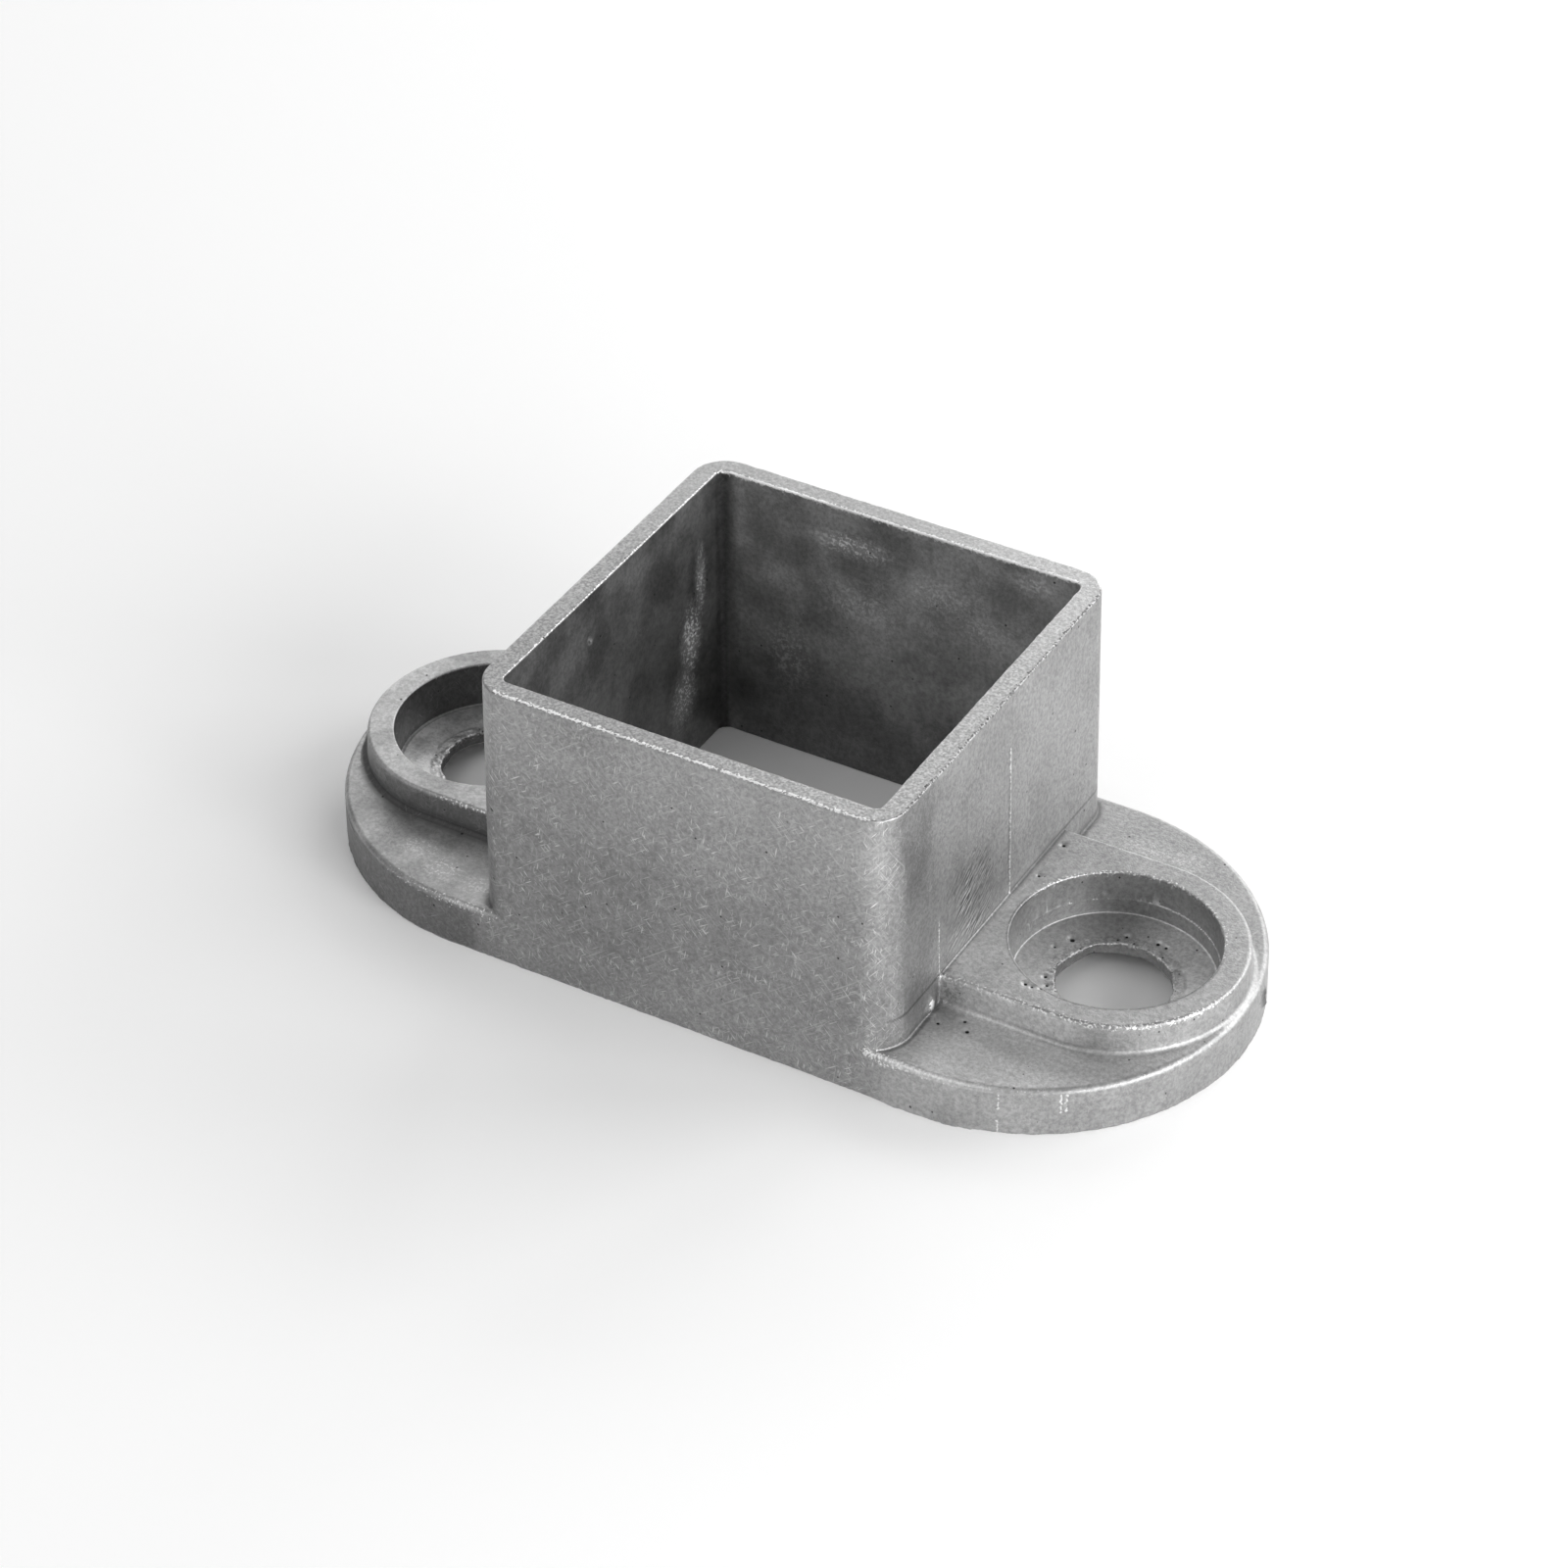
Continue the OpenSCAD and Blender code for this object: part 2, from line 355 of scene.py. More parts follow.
def masks_at(p, n):
    """Fields for the material at points p with normals n: distances, widths in millimetres and masks."""
    f, (x, y, z) = faces_at(p), p
    wide = band_widths(p)
    right = x > 0
    on_right = right * (np.abs(f["wall"]) < 0.6)
    front = step_up(-n[1], 0.6, 0.95) * (np.abs(f["wall"]) < 1)

    def line(mask, width):
        """A width in millimetres that falls below zero where the mask ends."""
        return (width + 0.3) * mask - 0.3

    nick = sum(peak(x - nick_x, 0.5) * window(z, low, high, NICK_FADE) for nick_x, low, high in NICKS)
    nick = line(np.minimum(2 * nick, 1) * (y < 0) * (np.abs(f["side"]) < 0.5), 0.06)

    # How far inside the painted shade of an inner corner each point lies
    on_plate = np.where(f["side"] < -0.7, 0, -5)
    crease = np.maximum.reduce([
        edge(f["wall"], z - BOSS_Z, np.where(right & (y < 1), 0.2, 0.7)) - 5 * (f["flank"] > 0.3),
        edge(f["wall"], z - PLATE_T, np.where(right & (y < 0), 0.1, 0.9)) + on_plate,
        edge(f["flank"], z - PLATE_T, np.where(right, -1, 1.2)) + on_plate,
    ])
    corner = step_up(-n[1], 0.05, 0.3) * step_up(n[0], 0.15, 0.4) * (np.abs(f["wall"]) < 1)
    scuff = 0.25 + 0.55 * front + 0.75 * corner - 0.15 * step_up(-f["bore"], -0.25, 0)

    return {
        "faces": (f["wall"], f["flank"], f["side"]),
        "rounds": (f["bore"], f["upper"], f["hole"]),
        "bands": (wide["boss"], wide["plate"], wide["mouth"]),
        "rims": (wide["lip"], wide["inner_lip"], wide["painted_lip_shadow"]),
        "lines": (line(on_right * window(z, *FLASH_SPAN), 0.08),
                  line(on_right * window(z, *SECOND_SPAN), 0.06), nick),
        "marks": (0.9 * chip_at(f, p), crease, scuff),
        "spots": (burr_at(f, z), f["floor"], step_up(1 - np.abs(n[2]), 0.4, 0.8)),
    }


def slope_of(field, p, reach=0.02):
    """The field's gradient at points p, by central differences."""
    rows = []
    for axis in range(3):
        step = np.zeros((3, 1), np.float32)
        step[axis] = reach
        rows.append((field(p + step) - field(p - step)) / (2 * reach))
    return np.stack(rows)


def grid_values(field, low, shape, step, block):
    """Samples the field on a grid, in full only in the blocks of cells that its surface may cross."""
    blocks = [n // block for n in shape]
    middle = low + step * (block - 1) / 2
    at = np.indices(blocks, np.float32).reshape(3, -1) * (step * block) + middle[:, None]
    coarse = field(at).reshape(blocks)
    value = np.repeat(np.repeat(np.repeat(coarse, block, 0), block, 1), block, 2)
    reach = step * (math.sqrt(3) * (block - 1) / 2 + 2)
    near = np.argwhere(np.abs(coarse) < reach)
    inner = np.indices((block,) * 3, np.float32).reshape(3, -1) * step
    tiles = value.reshape(blocks[0], block, blocks[1], block, blocks[2], block).transpose(0, 2, 4, 1, 3, 5)
    for some in np.array_split(near, max(1, len(near) // 20000)):
        corner = low + some * np.float32(step * block)
        points = (corner[:, :, None] + inner[None]).astype(np.float32)
        found = field(points.transpose(1, 0, 2).reshape(3, -1))
        tiles[some[:, 0], some[:, 1], some[:, 2]] = found.reshape(-1, block, block, block)
    return value


def surface_net(field, low, high, step, block=4):
    """Points and quads over the field's zero, one point in each grid cell that the surface crosses."""
    low = np.array(low, np.float32)
    shape = [int(math.ceil((end - start) / step / block)) * block for start, end in zip(low, high)]
    value = grid_values(field, low, shape, step, block)
    stride = np.array([shape[1] * shape[2], shape[2], 1])
    cells, places, loops = [], [], []
    for axis in range(3):
        here, ahead = [slice(1, -1)] * 3, [slice(1, -1)] * 3
        ahead[axis] = slice(2, None)
        first, second = value[tuple(here)], value[tuple(ahead)]
        start = np.argwhere((first < 0) != (second < 0))
        first, second = first[tuple(start.T)], second[tuple(start.T)]
        crossing = start + 1.0
        crossing[:, axis] += first / (first - second)
        u, v = stride[(axis + 1) % 3], stride[(axis + 2) % 3]
        cell = (start + 1) @ stride
        ring = np.stack([cell, cell - u, cell - u - v, cell - v], 1)
        loops.append(np.where((first < 0)[:, None], ring, ring[:, ::-1]))
        cells.append(ring.ravel())
        places.append(np.repeat(crossing, 4, 0))
    names, which = np.unique(np.concatenate(cells), return_inverse=True)
    places, count = np.concatenate(places), np.bincount(which)
    points = np.stack([np.bincount(which, places[:, k]) / count for k in range(3)], 1)
    quads = np.searchsorted(names, np.concatenate(loops))
    return (low + points * step).astype(np.float32), quads


def settle(field, points, rounds=3):
    """Moves points onto the field's zero and returns them with the surface's normals."""
    p = points.T.copy()
    for _ in range(rounds):
        g = slope_of(field, p)
        p -= field(p) * g / np.maximum((g * g).sum(0), 0.25)
    g = slope_of(field, p)
    return p, g / np.maximum(np.linalg.norm(g, axis=0), 1e-6)


def new_piece(name, points, faces):
    """A smooth mesh object from points in metres and faces that all have as many corners."""
    mesh = bpy.data.meshes.new(name)
    sides = faces.shape[1]
    mesh.vertices.add(len(points))
    mesh.vertices.foreach_set("co", points.astype(np.float32).ravel())
    mesh.loops.add(faces.size)
    mesh.loops.foreach_set("vertex_index", faces.astype(np.int32).ravel())
    mesh.polygons.add(len(faces))
    mesh.polygons.foreach_set("loop_start", np.arange(0, faces.size, sides, dtype=np.int32))
    mesh.update(calc_edges=True)
    mesh.shade_smooth()
    piece = bpy.data.objects.new(name, mesh)
    bpy.context.scene.collection.objects.link(piece)
    return piece


def thin_out(piece, most):
    """Merges the triangles that the shape needs least, down to about that many."""
    thin = piece.modifiers.new("thin", "DECIMATE")
    thin.ratio = min(1, most / (2 * len(piece.data.polygons)))
    depsgraph = bpy.context.evaluated_depsgraph_get()
    mesh = bpy.data.meshes.new_from_object(piece.evaluated_get(depsgraph))
    piece.modifiers.clear()
    piece.data = mesh


def points_of(piece):
    """The piece's points as three rows of millimetres."""
    co = np.empty(len(piece.data.vertices) * 3, np.float32)
    piece.data.vertices.foreach_get("co", co)
    return co.reshape(-1, 3).T / MM


def build_casting(step, most):
    """The casting as one piece, with the fields that its material reads, three to an attribute."""
    margin = 4 * step
    high = np.array([node_high.x / MM, BASE_HALF, SOCKET_H]) + margin
    low = np.array([-high[0], -high[1], -margin])
    points, quads = surface_net(form, low, high, step)
    p, n = settle(form, points)
    p += n * push_at(p)
    p[2] = np.clip(p[2], 0, SOCKET_H)
    piece = new_piece("casting", p.T * MM, quads)
    thin_out(piece, most)
    p = points_of(piece)
    n = slope_of(lambda q: form(q) - push_at(q), p, 0.04)
    n /= np.linalg.norm(n, axis=0)
    piece.data.normals_split_custom_set_from_vertices(n.T)
    for name, fields in masks_at(p, n).items():
        layer = piece.data.attributes.new(name, "FLOAT_VECTOR", "POINT")
        layer.data.foreach_set("vector", np.stack(fields, 1).astype(np.float32).ravel())
    return piece


class Graph:
    """Short calls for the nodes of one metal, with places in millimetres."""

    def __init__(self, name):
        self.material = bpy.data.materials.new(name)
        self.material.use_nodes = True
        self.tree = self.material.node_tree
        self.shader = self.tree.nodes["Principled BSDF"]
        place = self.add("TexCoord", output="Object")
        self.place = self.add("VectorMath", {0: place, "Scale": 1 / MM}, operation="SCALE")
        self.x, self.y, self.z = self.add("SeparateXYZ", {"Vector": self.place}).node.outputs

    def add(self, kind, inputs=None, output=0, **settings):
        """A new node's output, with its settings and what goes into its inputs."""
        node = self.tree.nodes.new("ShaderNode" + kind)
        for name, value in settings.items():
            setattr(node, name, value)
        for socket, value in (inputs or {}).items():
            self.plug(node.inputs[socket], value)
        return node.outputs[output]

    def plug(self, socket, value):
        """Links an output to a socket, or sets the socket's own value."""
        if isinstance(value, bpy.types.NodeSocket):
            self.tree.links.new(value, socket)
        else:
            socket.default_value = value

    def math(self, operation, *values):
        return self.add("Math", dict(enumerate(values)), operation=operation)

    def chain(self, operation, values):
        """All the values joined by one operation, from the first to the last."""
        result = values[0]
        for value in values[1:]:
            result = self.math(operation, result, value)
        return result

    def plus(self, *values):
        """The sum of all the values."""
        return self.chain("ADD", values)

    def minus(self, a, b):
        """a less b."""
        return self.math("SUBTRACT", a, b)

    def times(self, *values):
        """The product of all the values."""
        return self.chain("MULTIPLY", values)

    def most(self, *values):
        """The largest of the values."""
        return self.chain("MAXIMUM", values)

    def mix(self, share, a, b):
        """a where share is 0 and b where it is 1."""
        return self.add("Mix", {"Factor": share, "A": a, "B": b}, data_type="FLOAT")

    def ramp(self, value, low, high, at_low=0.0, at_high=1.0):
        """A smooth passage from at_low to at_high as value goes from low to high."""
        bounds = {"Value": value, 1: low, 2: high, 3: at_low, 4: at_high}
        return self.add("MapRange", bounds, interpolation_type="SMOOTHSTEP")

    def noise(self, size, detail, shift=0.0, rough=0.5):
        """Noise from 0 to 1 with lumps of that size in millimetres."""
        place = self.add("VectorMath", {0: self.place, 1: (shift,) * 3}, operation="ADD")
        look = {"Scale": 1 / size, "Detail": detail, "Roughness": rough}
        return self.add("TexNoise", {"Vector": place, **look})

    def flat_noise(self, place, scale=1.0):
        """Noise from 0 to 1 over the first two coordinates of a place."""
        look = {"Vector": place, "Scale": scale, "Detail": 0}
        return self.add("TexNoise", look, noise_dimensions="2D")

    def lay_flat(self, upright):
        """Sets up two coordinates that follow the surface, along the walls or across the level faces."""
        choose = self.math("GREATER_THAN", upright, 0.5)
        across = self.mix(choose, self.x, self.plus(self.x, self.y))
        self.flat = self.add("CombineXYZ", {0: across, 1: self.mix(choose, self.y, self.z)})

    def moved(self, shift):
        """The surface's own two coordinates, moved by that many millimetres."""
        return self.add("VectorMath", {0: self.flat, 1: (shift, shift, 0)}, operation="ADD")

    def strokes(self, long, wide, angle, shift, aside=0.0):
        """Flat noise drawn out along one direction, at that angle in degrees, and moved aside."""
        turn = math.radians(angle)
        lengthwise = {0: self.flat, 1: (math.cos(turn) / long, math.sin(turn) / long, 0)}
        crosswise = {0: self.flat, 1: (-math.sin(turn) / wide, math.cos(turn) / wide, 0)}
        u, v = [self.add("VectorMath", way, output="Value", operation="DOT_PRODUCT")
                for way in (lengthwise, crosswise)]
        u, v = self.plus(u, shift), self.plus(v, shift - aside / wide)
        return self.flat_noise(self.add("CombineXYZ", {0: u, 1: v}))

    def hairs(self, size, wide, shift):
        """Thin curved scratches along the middle line of a flat noise."""
        wave = self.flat_noise(self.moved(shift), 1 / size)
        return self.ramp(self.math("ABSOLUTE", self.minus(wave, 0.5)), wide, wide / 3)

    def dots(self, spacing, radius, share, shift):
        """Round dots, in that share of the cells of a scattered flat pattern."""
        look = {"Vector": self.moved(shift), "Scale": 1 / spacing}
        near = self.add("TexVoronoi", look, voronoi_dimensions="2D")
        pick = self.add("SeparateColor", {"Color": near.node.outputs["Color"]})
        reach = self.ramp(pick, 1 - share, 1, 0.3 * radius / spacing, radius / spacing)
        inside = self.ramp(self.minus(near, reach), 0.0, -0.4 * radius / spacing)
        return self.times(self.math("GREATER_THAN", pick, 1 - share), inside)

    def away(self, middle, reach):
        """How far each place is from a middle, as a share of the reach along each axis."""
        start = [-m / r for m, r in zip(middle, reach)]
        scaled = {0: self.place, 1: [1 / r for r in reach], 2: start}
        off = self.add("VectorMath", scaled, operation="MULTIPLY_ADD")
        return self.add("VectorMath", {0: off}, output="Value", operation="LENGTH")

    def patch(self, middle, reach, strength=1.0):
        """A soft patch, as strong as given in its middle and gone at its reach along each axis."""
        return self.ramp(self.away(middle, reach), 1.0, 0.1, 0.0, strength)

    def fields(self, name):
        """The three fields of one of the mesh's attributes."""
        stored = self.add("Attribute", output="Vector", attribute_name=name)
        return list(self.add("SeparateXYZ", {"Vector": stored}).node.outputs)

    def band(self, width, *offsets):
        """How far inside a band of that width each place lies, from how far off it is."""
        for off in offsets:
            width = self.minus(width, self.math("ABSOLUTE", off))
        return width


def read_mesh(g):
    """Sets up the fields that the mesh carries and the regions that the marks depend on."""
    g.wall, g.flank, g.side = g.fields("faces")
    g.bore, g.upper, g.hole = g.fields("rounds")
    g.chip, g.crease, g.scuff = g.fields("marks")
    g.burr, g.floor, g.upright = g.fields("spots")
    g.level = g.minus(1.0, g.upright)
    g.inside = g.ramp(g.bore, 0.5, 0.1)
    g.near, g.far = g.ramp(g.y, 2, -6), g.ramp(g.y, -5, 10)
    g.on_right, g.on_left = g.ramp(g.x, 20, 23), g.ramp(g.x, -20, -23)
    g.over_rim, g.over_boss = g.minus(g.z, SOCKET_H), g.minus(g.z, BOSS_Z)
    g.over_plate = g.minus(g.z, PLATE_T)


def lay_textures(g):
    """Sets up the textures that several marks share."""
    g.lay_flat(g.upright)
    g.clouds = g.noise(6, 3, rough=0.6)
    g.grain = g.noise(0.45, 2, 31, rough=0.8)
    g.crumbs = g.noise(0.24, 1, 71)
    g.uneven = g.plus(g.crumbs, g.minus(g.grain, 0.5))
    g.groups = g.ramp(g.strokes(2.6, 2.6, 0, 50), 0.45, 0.7)
    g.specks = g.dots(0.6, 0.08, 0.25, 29)
    g.drag = g.times(g.upright, g.minus(g.strokes(0.4, 9, 0, 61), 0.5))


def socket_painted_light(g):
    """Painted light and shade on the socket: how much lighter or darker than the mean its places are
    painted, by where the light falls.
    """
    front = g.times(g.ramp(g.y, -20, -21.4), g.ramp(g.wall, 1.5, 0.5))
    front_gain = g.plus(g.ramp(g.z, 14, 28, -0.31, -0.1), g.ramp(g.z, 8, 2, 0.0, 0.08),
                        g.ramp(g.x, -15, 15, -0.02, 0.08))
    near_corner = g.times(g.ramp(g.x, 18, 20.5), g.ramp(g.y, -18, -20.5))
    right_wall = g.times(g.ramp(g.x, 20, 21.4), g.ramp(g.wall, 0.6, 0.3))
    wall_foot = g.band(0.35, g.minus(g.wall, 0.1), g.minus(g.z, BOSS_Z + 0.1))
    inner_gain = g.mix(g.ramp(g.x, -17, -18.5), g.ramp(g.z, 3, 24, -0.58, 0.4), -0.38)
    far_inner_corner = g.band(1.2, g.plus(g.x, CLEAR_HALF + 0.05), g.minus(g.y, CLEAR_HALF + 0.05))
    # Painted shade on the front, low inside, in the far inner corner, on the right wall and at its foot;
    # painted light high inside and on the near corner
    return (
        g.times(front, front_gain),
        g.times(g.inside, inner_gain),
        g.times(-0.4, g.ramp(far_inner_corner, 0.0, 0.8)),
        g.times(right_wall, g.ramp(g.y, -12, -16, -0.12, -0.3)),
        g.times(0.1, near_corner),
        g.times(-0.5, g.on_right, g.ramp(wall_foot, 0.0, 0.2)),
    )


def ear_painted_light(g):
    """Painted light and shade on the ears: how much lighter or darker than the mean their places are
    painted, by where the light falls.
    """
    near_right = g.times(g.near, g.on_right)
    mouth_foot = g.ramp(g.band(0.35, g.upper, g.over_boss), 0.0, 0.15)
    plate_foot = g.ramp(g.band(0.6, g.minus(g.wall, 0.1), g.minus(g.z, PLATE_T + 0.1)), 0.0, 0.3)
    plate_edge = g.ramp(g.band(0.6, g.plus(g.side, 0.2), g.minus(g.z, PLATE_T - 0.2)), 0.0, 0.3)
    boss_edge = g.ramp(g.band(0.4, g.plus(g.flank, 0.1), g.minus(g.z, BOSS_Z - 0.1)), 0.0, 0.2)
    fillet = g.ramp(g.band(0.6, g.minus(g.flank, 0.25), g.minus(g.z, PLATE_T + 0.25)), 0.0, 0.3)
    on_flank = g.times(g.ramp(g.math("ABSOLUTE", g.flank), 0.5, 0.3), g.ramp(g.z, BOSS_Z, BOSS_Z - 0.3),
                       g.ramp(g.z, PLATE_T + 0.2, PLATE_T + 0.7), g.near)
    on_plate = g.times(g.level, g.ramp(g.math("ABSOLUTE", g.over_plate), 0.5, 0.3),
                       g.ramp(g.side, -0.4, -0.7), near_right)
    in_recess = g.times(g.ramp(g.upper, 0.5, 0.3), g.ramp(g.z, BOSS_Z - 0.05, BOSS_Z - 0.2))
    floor_gain = g.ramp(g.x, -1, 1, 1.0, g.ramp(g.x, 30, 37, 0.0, 0.8))
    near_side = g.times(g.ramp(g.side, -0.6, -0.2), g.ramp(g.y, -5, -12), g.upright)
    # Painted light and shade, term by term, on the ears' flanks, plates, edges, fillets and recesses
    return (
        g.times(-0.45, g.on_right, g.ramp(g.y, 4, 0), mouth_foot),
        g.times(on_flank, g.on_right, g.ramp(g.x, 33, 38, 0.9, 0.1)),
        g.times(-0.4, on_flank, g.on_left),
        g.times(on_plate, g.ramp(g.x, 20, 26, -0.5, 0.28)),
        g.times(plate_edge, near_right, g.ramp(g.x, 29, 36, 0.6, -0.12)),
        g.times(-0.2, plate_foot, near_right),
        g.times(-0.3, boss_edge, g.near, g.ramp(g.x, 28, 34)),
        g.times(fillet, near_right, g.ramp(g.x, 25, 35, 0.1, -0.35)),
        g.times(-0.75, fillet, g.near, g.on_left),
        g.times(in_recess, g.level, floor_gain),
        g.times(-0.6, in_recess, g.upright, g.on_left),
        g.times(-0.5, near_side, g.on_left),
    )


def skin_tone(g):
    """Lightness of the cast skin, with light and shade painted on by region, its clouds, its grain, upright
    drag lines and the ripples, which are painted as embossed light and shade.
    """
    # Painted light on the level faces
    level_light = g.times(g.level, g.mix(g.times(g.ramp(g.x, 0, 20), g.far), 0.14, 0.02))
    painted_light_gain = g.plus(1.0, level_light, *socket_painted_light(g), *ear_painted_light(g))
    cloudy = g.most(0.07, g.times(0.22, g.inside), g.times(0.22, g.level, g.on_left))
    cloud = g.plus(1.0, g.times(cloudy, g.ramp(g.clouds, 0.35, 0.65, -1.0, 1.0)))
    grain = g.ramp(g.grain, 0.25, 0.75, 0.8, 1.2)
    # The ripples are painted as embossed light and shade: a streaky noise less the same noise moved aside
    embossed_ripple_shade = g.minus(g.strokes(1.1, 0.36, 29, 41), g.strokes(1.1, 0.36, 29, 41, 0.16))
    ripple_light_and_shade = g.times(g.upright, g.patch(*RIPPLES), g.ramp(g.groups, 0.0, 0.6, 0.4, 1.0),
                     g.ramp(embossed_ripple_shade, -0.2, 0.2, -0.7, 0.8))
    return g.times(TONE, painted_light_gain, cloud, grain, g.plus(1.0, g.times(0.08, g.drag)), g.plus(1.0, ripple_light_and_shade))


def rim_tone(g):
    """Lightness of the ground rim, which is coarse, with painted light making it brighter on the right and
    far sides.
    """
    painted_light_gain = g.plus(g.ramp(g.x, -8, 22, 1.0, 1.3), g.ramp(g.y, -5, 20, 0.04, 0.22))
    coarse = g.ramp(g.crumbs, 0.3, 0.7, g.ramp(g.y, 0, 20, 0.75, 0.88), g.ramp(g.y, 0, 20, 1.2, 1.1))
    return g.times(TONE, painted_light_gain, coarse, g.ramp(g.grain, 0.3, 0.7, 0.88, 1.12))


def worn_edges_and_highlights(g):
    """Bright worn metal along edges, die lines and nicks, partly painted highlights where the near edges
    catch the light, and the painted shadow under the rim's right lip.
    """
    boss, plate, mouth = g.fields("bands")
    lip, inner_lip, painted_lip_shadow = g.fields("rims")
    flash, second, nick = g.fields("lines")
    wobble = g.times(0.3, g.minus(g.noise(4, 0, 5), 0.5))
    inner = g.band(inner_lip, g.minus(g.bore, 0.08), g.times(0.5, g.over_rim))
    crisp_boss = g.minus(boss, g.ramp(g.x, -20, 20, 0.05, 0.7))
    crisp = g.most(
        g.band(lip, g.plus(g.wall, 0.2), g.times(3, g.over_rim)),
        g.band(g.minus(plate, 0.42), g.plus(g.side, 0.15), g.over_plate),
        g.band(crisp_boss, g.plus(g.flank, 0.1), g.over_boss),
    )
    faint = g.most(
        g.band(flash, g.minus(g.minus(g.y, FLASH_Y), wobble)),
        g.band(second, g.minus(g.y, SECOND_Y)),
        *[g.band(nick, g.minus(g.x, nick_x)) for nick_x in sorted({row[0] for row in NICKS})],
    )
    wide = g.most(
        g.band(boss, g.flank, g.over_boss),
        g.band(plate, g.side, g.over_plate),
        g.band(mouth, g.upper, g.over_boss),
        g.band(-0.06, g.hole, g.minus(g.z, LAND_Z)),
        *[g.math("MULTIPLY_ADD", g.patch(*bead), 2.4, -1.6) for bead in BEADS],
    )
    ragged = g.minus(g.crumbs, 0.5)
    # Worn bright metal, with painted highlights along the near edges that catch the light
    wear_and_highlight = g.most(
        g.ramp(g.math("MULTIPLY_ADD", ragged, 0.6, inner), 0.0, 0.08),
        g.ramp(g.math("MULTIPLY_ADD", ragged, 1.1, crisp), 0.0, 0.08),
        g.times(0.75, g.ramp(g.math("MULTIPLY_ADD", ragged, 0.5, faint), -0.02, 0.05)),
        g.times(0.85, g.ramp(g.math("MULTIPLY_ADD", ragged, 2.6, wide), 0.0, 0.45)),
    )
    # Painted shadow: a thin dark line under the ground rim's lip on the right wall
    beside = g.band(painted_lip_shadow, g.plus(g.wall, 0.1), g.times(0.5, g.over_rim))
    return wear_and_highlight, g.ramp(g.math("MULTIPLY_ADD", ragged, 0.8, beside), 0.0, 0.08)


def scratches(g):
    """Short bright cuts in loose groups, long faint lines and thin curved hairs."""
    short = ((1.5, 0.16, 35, 3), (1.3, 0.15, -50, 9), (1.4, 0.16, 80, 15))
    cuts = g.most(*[g.ramp(g.strokes(*one), 0.75, 0.9) for one in short])
    long = ((6.0, 0.18, 38, 21), (5.0, 0.17, -48, 27))
    lines = g.most(*[g.ramp(g.strokes(*one), 0.76, 0.92) for one in long])
    hair = g.hairs(2.6, 0.018, 3)
    spread = g.math("MULTIPLY_ADD", g.groups, 0.5, 0.5)
    return g.times(g.scuff, g.most(g.times(spread, cuts), g.times(0.35, lines), g.times(0.3, spread, hair)))


def deposits(g):
    """Pale deposits in specks and crumbs."""
    spread = g.most(g.times(1.4, g.specks), g.ramp(g.uneven, 0.54, 0.66, 0.25, 0.9))
    stained = g.times(g.most(*[g.patch(*stain) for stain in STAINS]), spread)
    return g.math("MINIMUM", stained, 1.0)


def dark_places(g):
    """Painted shade in the inner corners and round the left recess's floor, dark patches, pores, and the
    pits with the chip.
    """
    # Painted shade: darker inner corners, and a dark ring where the left recess's wall meets its floor
    left_ring_shade = g.band(g.ramp(g.x, -1, 1, 0.35, -0.3), g.plus(g.upper, 0.1), g.floor)
    crease = g.ramp(g.plus(g.crease, g.times(0.6, g.minus(g.grain, 0.5))), 0.0, 0.9)
    crease = g.most(crease, g.ramp(left_ring_shade, 0.0, 0.2))
    shadow = g.most(*[g.patch(*one) for one in SHADOWS])
    shadow = g.times(shadow, g.ramp(g.uneven, 0.35, 0.6, 1.0, 0.5))
    pores = g.most(g.dots(2.4, 0.15, 0.22, 5), g.times(g.burr, g.dots(0.8, 0.15, 0.4, 17)))
    off_pits = [g.away((x, y, z), (size, size, 2 * size)) for x, y, z, size in PITS]
    pits = g.ramp(g.chain("MINIMUM", off_pits), 1.0, 0.1)
    return crease, shadow, pores, g.most(g.chip, g.ramp(pits, 0.1, 0.5))


def skin_bump(g):
    """Fine relief of the grain and the drag lines, smoother inside the cuts and on the left ear."""
    height = g.math("MULTIPLY_ADD", g.grain, 1.2, g.times(0.1, g.drag))
    in_cuts = g.ramp(g.math("MINIMUM", g.bore, g.upper), 0.05, 0.4, 0.35, 1.0)
    strength = g.math("MINIMUM", in_cuts, g.ramp(g.x, -21, -24, 1.0, 0.6))
    return g.add("Bump", {"Height": height, "Strength": strength, "Distance": 0.035 * MM})


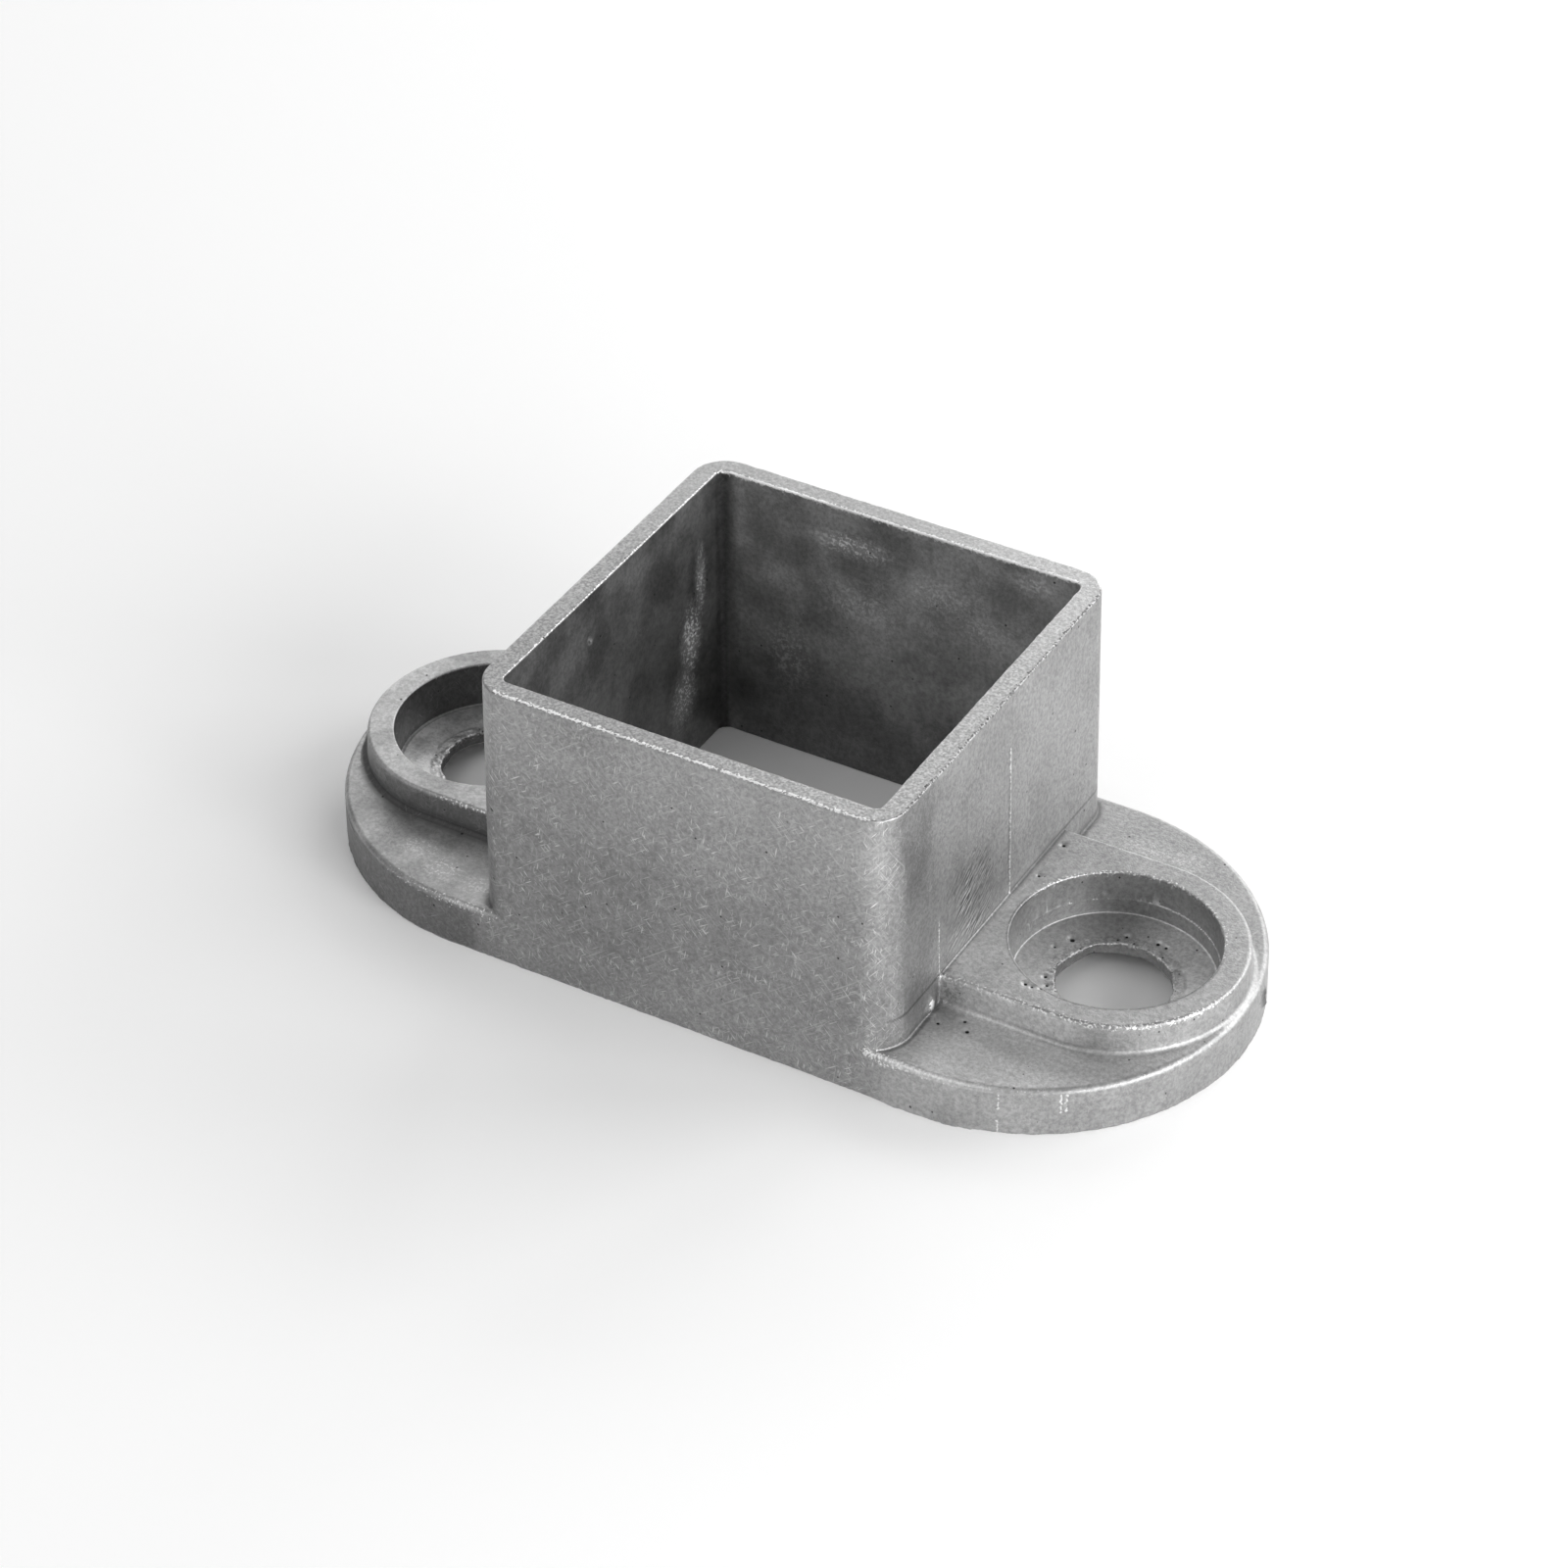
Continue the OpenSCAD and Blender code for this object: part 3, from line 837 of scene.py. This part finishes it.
def cast_metal():
    """Raw die-cast alloy: grey skin with clouds, grain, scratches and pits, and a ground rim, with painted
    light and shade laid over them.
    """
    g = Graph("cast_metal")
    read_mesh(g)
    lay_textures(g)
    tone = g.mix(g.ramp(g.z, SOCKET_H - 0.1, SOCKET_H - 0.03), skin_tone(g), rim_tone(g))
    crease, shadow, pores, dark = dark_places(g)
    deposit, scratch = deposits(g), scratches(g)
    wear_and_highlight, painted_lip_shadow = worn_edges_and_highlights(g)
    sparks = g.times(g.groups, g.ramp(g.scuff, 0.1, 0.5), g.specks, g.ramp(g.bore, 0.1, 0.5))
    burr_tone = g.ramp(g.crumbs, 0.35, 0.65, 0.15, 0.55)

    # Marks from the lowest to the uppermost: how strong, where, and how light; the corner shade, the
    # shadows, the lip shadow and part of the worn edges are painted light and shade
    marks = (
        (0.6, crease, 0.12), (0.6, shadow, 0.08), (0.9, deposit, 0.75), (0.6, scratch, 0.95),
        (0.35, sparks, 0.9), (0.4, g.burr, burr_tone), (0.85, pores, 0.03), (1.0, wear_and_highlight, 0.95),
        (0.8, painted_lip_shadow, 0.05), (1.0, dark, 0.03),
    )
    for strength, where, shade in marks:
        tone = g.mix(g.times(strength, where), tone, shade)
    rough = g.ramp(g.clouds, 0.3, 0.7, 0.46, 0.54)
    for where, roughness in ((g.times(0.6, scratch), 0.36), (wear_and_highlight, 0.6), (crease, 0.7)):
        rough = g.mix(where, rough, roughness)

    inputs = g.shader.inputs
    g.plug(inputs["Base Color"], g.add("CombineColor", {0: tone, 1: tone, 2: tone}))
    g.plug(inputs["Metallic"], g.minus(1.0, g.times(0.8, deposit)))
    g.plug(inputs["Roughness"], rough)
    g.plug(inputs["Normal"], skin_bump(g))
    return g.material


def soft_box(name, azimuth, elevation, radiance):
    """A square lamp that faces the part, from azimuth degrees round from +X towards +Y."""
    lamp = bpy.data.objects.new(name, bpy.data.lights.new(name, "AREA"))
    lamp.data.shape = "SQUARE"
    lamp.data.size = BOX_WIDTH
    lamp.data.energy = math.pi * BOX_WIDTH * BOX_WIDTH * radiance
    a, e = math.radians(azimuth), math.radians(elevation)
    back = Vector((math.cos(a) * math.cos(e), math.sin(a) * math.cos(e), math.sin(e)))
    lamp.location = back * BOX_DISTANCE
    lamp.rotation_euler = back.to_track_quat("Z", "Y").to_euler()
    bpy.context.scene.collection.objects.link(lamp)


def pale_floor():
    """White floor that throws back a little less light than it shows."""
    material = bpy.data.materials.new("pale_floor")
    material.use_nodes = True
    nodes, links = material.node_tree.nodes, material.node_tree.links
    shader = nodes["Principled BSDF"]
    shader.inputs["Roughness"].default_value = 1.0
    shader.inputs["Specular IOR Level"].default_value = 0.0
    rays, mix = nodes.new("ShaderNodeLightPath"), nodes.new("ShaderNodeMix")
    mix.data_type = "RGBA"
    mix.inputs["A"].default_value = (0.8, 0.8, 0.8, 1)
    mix.inputs["B"].default_value = (1.0, 1.0, 1.0, 1)
    seen = rays.outputs["Is Camera Ray"]
    for name in ("Is Glossy Ray", "Is Transmission Ray"):
        either = nodes.new("ShaderNodeMath")
        either.operation = "MAXIMUM"
        links.new(seen, either.inputs[0])
        links.new(rays.outputs[name], either.inputs[1])
        seen = either.outputs[0]
    links.new(seen, mix.inputs["Factor"])
    links.new(mix.outputs["Result"], shader.inputs["Base Color"])
    return material


def studio():
    """A pale floor under a soft white sky, with a ring of soft boxes."""
    world = bpy.data.worlds.new("sky")
    bpy.context.scene.world = world
    world.use_nodes = True
    background = world.node_tree.nodes["Background"]
    background.inputs["Color"].default_value = (1, 1, 1, 1)
    background.inputs["Strength"].default_value = SKY_STRENGTH
    for box in BOXES:
        soft_box(*box)

    mesh = bpy.data.meshes.new("floor")
    corners = [(FLOOR_HALF * x, FLOOR_HALF * y, 0) for x, y in ((-1, -1), (1, -1), (1, 1), (-1, 1))]
    mesh.from_pydata(corners, [], [(0, 1, 2, 3)])
    mesh.materials.append(pale_floor())
    floor = bpy.data.objects.new("floor", mesh)
    bpy.context.scene.collection.objects.link(floor)


def camera_as_photographed():
    """The camera that the photograph's edges were fitted to."""
    camera = bpy.data.objects.new("camera", bpy.data.cameras.new("camera"))
    camera.data.lens = LENS
    camera.data.sensor_width = SENSOR
    forward, up = Vector(CAMERA_FORWARD), Vector(CAMERA_UP)
    camera.matrix_world = Matrix((forward.cross(up), up, -forward)).transposed().to_4x4()
    camera.location = CAMERA_PLACE
    bpy.context.scene.collection.objects.link(camera)
    bpy.context.scene.camera = camera


bpy.context.scene.view_settings.view_transform = "Standard"
casting = build_casting(CELL, MOST_TRIANGLES)
casting.data.materials.append(cast_metal())
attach(casting, "root")
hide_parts(NODE)
studio()
camera_as_photographed()
